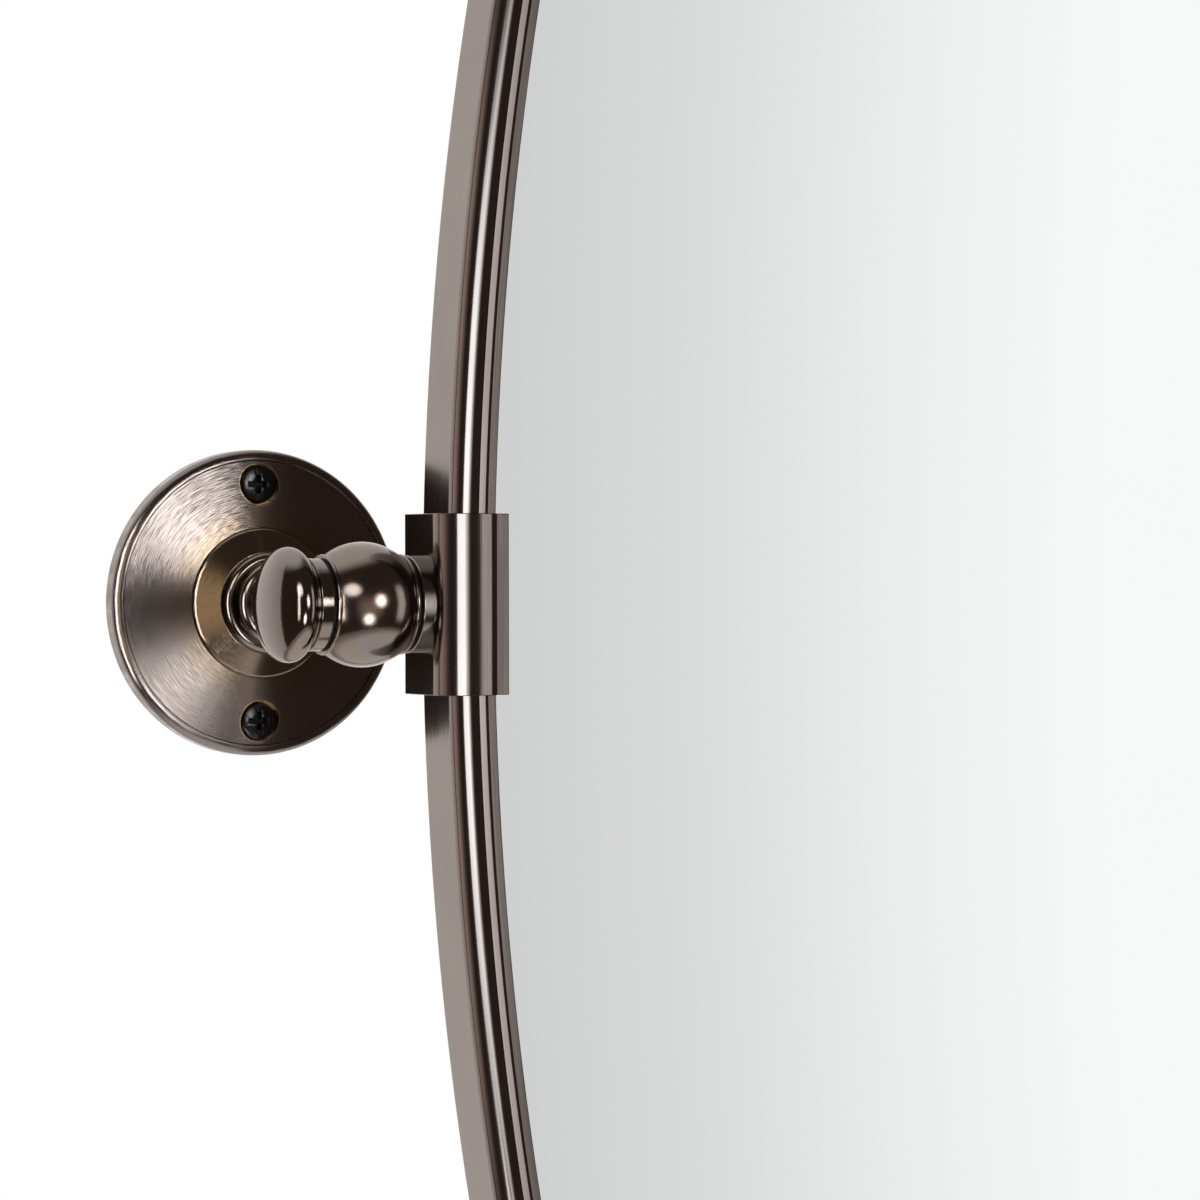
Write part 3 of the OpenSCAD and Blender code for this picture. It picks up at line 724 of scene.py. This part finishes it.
def spun_gunmetal():
    """Gunmetal plating over brass that was brushed in circles: the plates."""
    finish = Finish("spun gunmetal", Metallic=1.0)
    point, x, y, z = finish.place()
    out = x.apart() - post_x * MM
    radius = (out * out + z * z).root() / MM
    turn_x, turn_z = out * x.sign() / (radius * MM), z / (radius * MM)
    rings = finish.noise(finish.combined(radius * 26.0, turn_x * 9.0, turn_z * 9.0), 1.0, 1.0)
    marks = finish.noise(finish.combined(radius * 8.0, turn_x * 5.0, turn_z * 5.0), 1.0, 2.0)
    clouds = finish.noise(point, 90.0, 3.0)
    run = finish.combined(turn_z * -1.0, 0.0, turn_x)
    warm = (1 - (radius - 12.0).apart().between(2.0, 10.0)) * 0.65
    from_screw = (out * out + (z.apart() - screw_pitch / 2 * MM) ** 2.0).root() / MM
    worn = 1 - from_screw.between(wall_head_r + head_fit, wall_head_r + head_fit + 0.5)
    shade = finish.mix(clouds, DARK, GUNMETAL)
    shade = finish.mix(warm, shade, BRONZE)
    shade = finish.mix(worn * 0.8, shade, BRASS)
    return finish.paint(Base_Color=shade, Roughness=0.15 + clouds * 0.04 + marks * 0.06,
                        Normal=finish.brushed(run, rings + marks * 0.1 - 0.05, 0.46))


def polished_gunmetal(name, haziness):
    """The same plating over polished brass: posts and knobs, with faint marks of turning and wiping."""
    finish = Finish(name, Metallic=1.0)
    point, x, y, z = finish.place()
    clouds = finish.noise(point, 120.0, 3.0)
    wiped = finish.noise(finish.combined(x * 900.0, y * 900.0, z * 200.0), 1.0, 2.0)
    haze = finish.noise(point, 2600.0, 2.0)
    shade = finish.mix(clouds, DARK, GUNMETAL)
    shade = finish.mix(clouds.between(0.42, 0.62) * 0.4, shade, BRONZE)
    normal = finish.node("ShaderNodeBump", None, {"Strength": 0.05, "Distance": 0.0002, "Height": haze})[0]
    return finish.paint(Base_Color=shade, Roughness=haziness * (0.75 + wiped * 0.5), Normal=normal)


def satin_gunmetal():
    """Plating over a frame that was brushed along its length."""
    finish = Finish("satin gunmetal", Metallic=1.0)
    point, x, y, z = finish.place()
    nx, nz = x / (half_w * half_w), z / (half_h * half_h)
    span = (nx * nx + nz * nz).root()
    run = finish.combined(nz / span * -1.0, 0.0, nx / span)
    level = ((x / (half_w * MM)) ** 2.0 + (z / (half_h * MM)) ** 2.0).root() * half_w
    along = finish.combined(level * 6.0, y * 6000.0, (x + z) * 22.0)
    streaks = finish.noise(along, 1.0, 3.0, 0.7)
    clouds = finish.noise(point, 60.0, 3.0)
    shade = finish.mix(clouds, DARK, GUNMETAL)
    return finish.paint(Base_Color=shade, Roughness=0.12 + streaks * 0.06,
                        Normal=finish.brushed(run, streaks, 0.08, streaks, 0.05))


def upright_satin():
    """The clamps: milled, then brushed up and down, and plated."""
    finish = Finish("clamp satin gunmetal", Metallic=1.0)
    point, x, y, z = finish.place()
    streaks = finish.noise(finish.combined(x * 6000.0, y * 6000.0, z * 30.0), 1.0, 3.0, 0.7)
    clouds = finish.noise(point, 90.0, 3.0)
    shade = finish.mix(clouds, DARK, GUNMETAL)
    return finish.paint(Base_Color=shade, Roughness=0.12 + streaks * 0.06,
                        Normal=finish.brushed((0.0, 0.0, 1.0), streaks, 0.08, streaks, 0.05))


def black_screw():
    finish = Finish("black oxide screw", Metallic=0.0, IOR=1.6)
    point = finish.place()[0]
    grain = finish.noise(point, 2200.0, 3.0)
    worn = finish.noise(point, 500.0, 3.0).between(0.55, 0.75)
    shade = finish.mix(worn, (0.004, 0.004, 0.0045, 1), (0.012, 0.011, 0.011, 1))
    normal = finish.node("ShaderNodeBump", None, {"Strength": 0.12, "Distance": 0.0001, "Height": grain})[0]
    return finish.paint(Base_Color=shade, Roughness=0.12 + grain * 0.12, Normal=normal)


def black_nylon():
    finish = Finish("black nylon", IOR=1.53)
    grain = finish.noise(finish.place()[0], 3000.0, 3.0)
    shade = finish.mix(grain, (0.01, 0.01, 0.011, 1), (0.03, 0.03, 0.032, 1))
    normal = finish.node("ShaderNodeBump", None, {"Strength": 0.3, "Distance": 0.0001, "Height": grain})[0]
    return finish.paint(Base_Color=shade, Roughness=0.42 + grain * 0.16, Normal=normal)


def zinc():
    finish = Finish("zinc plate", Metallic=1.0)
    point = finish.place()[0]
    spangle = finish.noise(point, 700.0, 3.0)
    tarnish = finish.noise(point, 160.0, 3.0)
    bright = finish.mix(spangle, (0.56, 0.57, 0.58, 1), (0.74, 0.74, 0.72, 1))
    shade = finish.mix(tarnish.between(0.5, 0.8) * 0.5, bright, (0.55, 0.5, 0.4, 1))
    normal = finish.node("ShaderNodeBump", None, {"Strength": 0.15, "Distance": 0.0001, "Height": spangle})[0]
    return finish.paint(Base_Color=shade, Roughness=0.24 + spangle * 0.2, Normal=normal)


def mirror_glass():
    """Silvered glass: clean in the middle, with the faintest veil of dust towards its edge."""
    finish = Finish("silvered glass", Metallic=1.0, Roughness=0.0)
    point, x, y, z = finish.place()
    level = (x / (half_w * MM)) ** 2.0 + (z / (half_h * MM)) ** 2.0
    veil = finish.noise(point, 14.0, 2.0) * 0.5 + level.between(0.86, 0.97) * 0.5
    return finish.paint(Base_Color=finish.mix(veil, (0.935, 0.94, 0.94, 1), (0.92, 0.925, 0.925, 1)))


def hardboard():
    """Dark tempered hardboard with the mesh of its press on the back."""
    finish = Finish("hardboard", IOR=1.4)
    point, x, y, z = finish.place()
    fibre = finish.noise(finish.combined(x * 500.0, y * 500.0, z * 900.0), 1.0, 5.0, 0.65)
    flecks = finish.noise(point, 1500.0, 2.0).between(0.62, 0.75)
    shade = finish.mix(fibre, (0.03, 0.016, 0.011, 1), (0.085, 0.048, 0.032, 1))
    shade = finish.mix(flecks * 0.6, shade, (0.016, 0.009, 0.007, 1))
    pitch = 2 * pi / (1.4 * MM)
    weave = (x * pitch).sum_of("SINE", x * pitch) * (z * pitch).sum_of("SINE", z * pitch)
    height = weave * 0.5 + fibre
    normal = finish.node("ShaderNodeBump", None, {"Strength": 0.5, "Distance": 0.0002, "Height": height})[0]
    return finish.paint(Base_Color=shade, Roughness=0.62 + fibre * 0.2, Normal=normal)


# ---- Studio -----------------------------------------------------------------------------------------------

def surroundings():
    """A dark studio in front with a white backdrop behind. What the camera sees past the mirror is white."""
    world = bpy.data.worlds.new("studio")
    bpy.context.scene.world = world
    world.use_nodes = True
    sheet = Sheet(world.node_tree)
    direction = sheet.node("ShaderNodeTexCoord")["Generated"]
    parts = sheet.node("ShaderNodeSeparateXYZ", None, {0: direction})
    x, y, z = parts[0], parts[1], parts[2]
    backdrop = y.between(0.33, 0.42) * (0.68 + y.between(0.4, 0.95) * 0.32)
    ceiling = (z * 0.9 + y * 0.45 - x * 0.1).between(0.7, 0.95)
    room = sheet.mix(backdrop, (0.062, 0.044, 0.038, 1), (1, 0.955, 0.92, 1))
    room = sheet.mix(ceiling, room, (0.9, 0.9, 0.9, 1))
    stops = [(0.0, (0.42, 0.42, 0.42, 1)), (0.42, (0.67, 0.67, 0.67, 1)), (0.456, (0.75, 0.75, 0.75, 1)),
             (0.497, (0.9, 0.9, 0.9, 1)), (0.535, (1, 1, 1, 1)), (1.0, (1, 1, 1, 1))]
    pale = sheet.node("ShaderNodeValToRGB", {"stops": stops}, {0: x})[0]
    rays = sheet.node("ShaderNodeLightPath")
    first = 1 - rays["Ray Depth"].between(2.4, 2.6)
    seen = sheet.mix(rays["Is Singular Ray"] * first, room, pale)
    seen = sheet.mix(rays["Is Camera Ray"], seen, (1, 1, 1, 1))
    sheet.feed(world.node_tree.nodes["Background"], {0: seen, 1: 1.0})


def soft_panel(name, turn, rise, wide, high, level, core=0.5, tint=(1, 1, 1, 1), shape="round", tall_core=None):
    """A soft lamp panel, seen from the left pivot turn degrees to the left of straight out and rise degrees up.
    wide and high are the angles it fills, level is how bright it looks and core the share that is evenly lit.
    A strip has straight edges and a ramp fades from left to right, and neither is seen in a second reflection.
    tall_core is the share that is evenly lit upright, where it isn't core."""
    toward, distance, thinness = LEFT_PIVOT * MM, 1.6, 0.1
    a, e = radians(turn), radians(rise)
    away = Vector((-sin(a) * cos(e), -cos(a) * cos(e), sin(e)))
    bpy.ops.object.select_all(action="DESELECT")
    bpy.ops.mesh.primitive_plane_add(size=2, location=toward + away * distance,
                                     rotation=away.to_track_quat("Z", "Y").to_euler())
    panel = bpy.context.object
    panel.name = name
    panel.scale = (distance * sin(radians(wide / 2)), distance * sin(radians(high / 2)), 1)
    panel.visible_camera = False
    lamp = bpy.data.materials.new(name)
    lamp.use_nodes = True
    sheet = Sheet(lamp.node_tree)
    x, y = sheet.place()[1:3]
    rays = sheet.node("ShaderNodeLightPath")
    seen = 1 - rays["Is Singular Ray"]
    if shape == "round":
        glow = 1 - (x * x + y * y).root().between(core, 1.0)
    else:
        across = 1 - (x.between(-1.0, 1.0) if shape == "ramp" else x.apart().between(core, 1.0))
        glow = across * (1 - y.apart().between(core if tall_core is None else tall_core, 1.0))
        seen = seen * (1 - rays["Ray Depth"].between(1.4, 1.6))
    clear = sheet.node("ShaderNodeBsdfTransparent")[0]
    shine = sheet.node("ShaderNodeEmission", None, {"Color": tint, "Strength": level / thinness})[0]
    face = sheet.node("ShaderNodeMixShader", None, {0: glow * seen * thinness, 1: clear, 2: shine})[0]
    sheet.feed(lamp.node_tree.nodes["Material Output"], {"Surface": face})
    panel.data.materials.append(lamp)
    return panel


def lights_only(panel, pieces):
    """Lets a panel light these pieces and nothing else."""
    lit = bpy.data.collections.new(panel.name + "_lit")
    for piece in pieces:
        lit.objects.link(piece)
    panel.light_linking.receiver_collection = lit


def studio():
    surroundings()
    soft_panel("low_lamp", 6, -26, 28, 28, 7.5, 0.1)
    bpy.ops.mesh.primitive_circle_add(vertices=96, radius=0.9, fill_type="NGON", location=(0, 0, -0.75))
    floor = bpy.context.object
    floor.name = "floor"
    floor.visible_camera = False
    finish = Finish("pale floor", Roughness=0.8, Emission_Strength=0.75)
    point, x, y, z = finish.place()
    mottle = finish.noise(point, 6.0, 3.0)
    shade = finish.mix(mottle, (0.78, 0.78, 0.77, 1), (0.84, 0.84, 0.83, 1))
    inside = 1 - (x * x + y * y).root().between(0.55, 0.85)
    rays = finish.node("ShaderNodeLightPath")
    glow = finish.mix(rays["Is Glossy Ray"] * inside, (0, 0, 0, 1), shade)
    floor.data.materials.append(finish.paint(Base_Color=shade, Emission_Color=glow))


def camera():
    """A long lens left of the mirror at the pivot's height, level but for half a degree, looking to the right."""
    yaw, pitch, roll = radians(25.97), radians(0.42), radians(-0.1)
    forward = Vector((sin(yaw) * cos(pitch), cos(yaw) * cos(pitch), -sin(pitch)))
    level = Vector((cos(yaw), -sin(yaw), 0))
    rise = level.cross(forward)
    right = level * cos(roll) + rise * sin(roll)
    up = rise * cos(roll) - level * sin(roll)
    lens = bpy.data.cameras.new("camera")
    lens.lens, lens.sensor_width, lens.clip_start = 135, 36, 0.01
    holder = bpy.data.objects.new("camera", lens)
    bpy.context.scene.collection.objects.link(holder)
    turn = Matrix((right, up, -forward)).transposed()
    holder.matrix_world = Matrix.Translation(Vector((-645.3, -827.6, 6.9)) * MM) @ turn.to_4x4()
    bpy.context.scene.camera = holder


# ---- Assembly ---------------------------------------------------------------------------------------------

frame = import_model()
bpy.context.scene.view_settings.view_transform = "Standard"
camera()
studio()

SPUN, SATIN, UPRIGHT = spun_gunmetal(), satin_gunmetal(), upright_satin()
POST_POLISH, KNOB_POLISH = polished_gunmetal("post polished gunmetal", 0.14), polished_gunmetal("knob polished gunmetal", 0.08)
BLACK, NYLON, ZINC = black_screw(), black_nylon(), zinc()


def both_sides(piece, part, finish):
    """Puts a left piece and its mirror image in the place of the two CAD nodes of that part."""
    stem = piece.name.removeprefix("left_")
    twin = opposite(piece, "right_" + stem)
    stands_for(piece, "left_" + part, finish)
    stands_for(twin, "right_" + part, finish)


both_sides(wall_plate(), "wall_plate", SPUN)
both_sides(post(), "post", POST_POLISH)
both_sides(knob(), "knob", KNOB_POLISH)
both_sides(washer("left_knob_washer", head_w / 2, knob_x), "outer_washer", NYLON)
both_sides(washer("left_clamp_washer", -clamp_boss_x, -head_w / 2), "inner_washer", NYLON)
both_sides(clamp(), "clamp", UPRIGHT)
both_sides(stud(), "stud", ZINC)

low_screw = wall_screw(-screw_pitch / 2)
high_screw = copied(low_screw, "high_screw", UP * screw_pitch * MM)
both_sides(joined("left_wood_screws", [low_screw, high_screw]), "wall_screws", BLACK)
both_sides(flat_screw("left_long_screw", LEFT_FOOT, OUT, post_screw_r, 1.0, post_screw_l, 2.0), "post_screw", ZINC)

stands_for(oval_frame(), "frame", SATIN)
CLIP_ANGLES = [(i + 0.5) * 360 / clip_count for i in range(clip_count)]
stands_for(joined("spring_clips", [retaining_clip(a) for a in CLIP_ANGLES]), "retaining_clips", ZINC)
stands_for(joined("pan_screws", [clip_screw(a) for a in CLIP_ANGLES]), "clip_screws", ZINC)

for node, finish in (("glass", mirror_glass()), ("backing_board", hardboard()),
                     ("left_clamp_screws", ZINC), ("right_clamp_screws", ZINC)):
    frame["nodes"][node].data.materials.clear()
    frame["nodes"][node].data.materials.append(finish)

made = {piece.name: piece for piece in bpy.data.objects}


def both(stem):
    return [made["left_" + stem], made["right_" + stem]]


framing, turnings = [made["reeded_frame"]] + both("clamp_milled"), both("post_turned") + both("knob_turned")
walling = both("plate") + both("wood_screws")
lights_only(soft_panel("right_lamp", -15, 7, 30, 30, 8.0, 0.1), turnings + walling)
lights_only(soft_panel("left_lamp", 39, 27, 42, 30, 3.2, 0.4), turnings)
lights_only(soft_panel("front_strip", 3.5, 0, 42, 38, 4.5, 0.87, (0.88, 0.95, 1, 1), "strip", 0.3), framing)
lights_only(soft_panel("right_wash", -25, 0, 20, 70, 2.0, 0.2, shape="ramp"), framing)
lights_only(soft_panel("left_wash", 78, 0, 62, 70, 0.75, 0.5, (1, 0.81, 0.73, 1), "ramp"), framing)
lights_only(soft_panel("side_strip", 47, 4, 15, 80, 3.2, 0.6, shape="strip"), both("knob_turned"))
lights_only(soft_panel("far_strip", -58, 2, 22, 70, 1.0, 0.5, shape="strip"), turnings)
lights_only(soft_panel("warm_glow", 5, -5, 80, 60, 0.45, 0.1, (1, 0.76, 0.52, 1), "strip"), both("post_turned"))
lights_only(soft_panel("rim_strip", 69, 0, 24, 130, 6.5, 0.8, shape="strip"), walling)
lights_only(soft_panel("bead_strip", 64, -4, 28, 60, 5.0, 0.5, shape="strip"), both("post_turned"))
lights_only(soft_panel("cone_glow", 37, 0, 36, 110, 0.85, 0.3, (1, 0.8, 0.52, 1), "strip"), both("plate"))
lights_only(soft_panel("high_fan", -6, 14, 30, 20, 3.4, 0.2), both("plate"))
lights_only(soft_panel("low_fan", -6, -16, 30, 22, 2.4, 0.2), both("plate"))
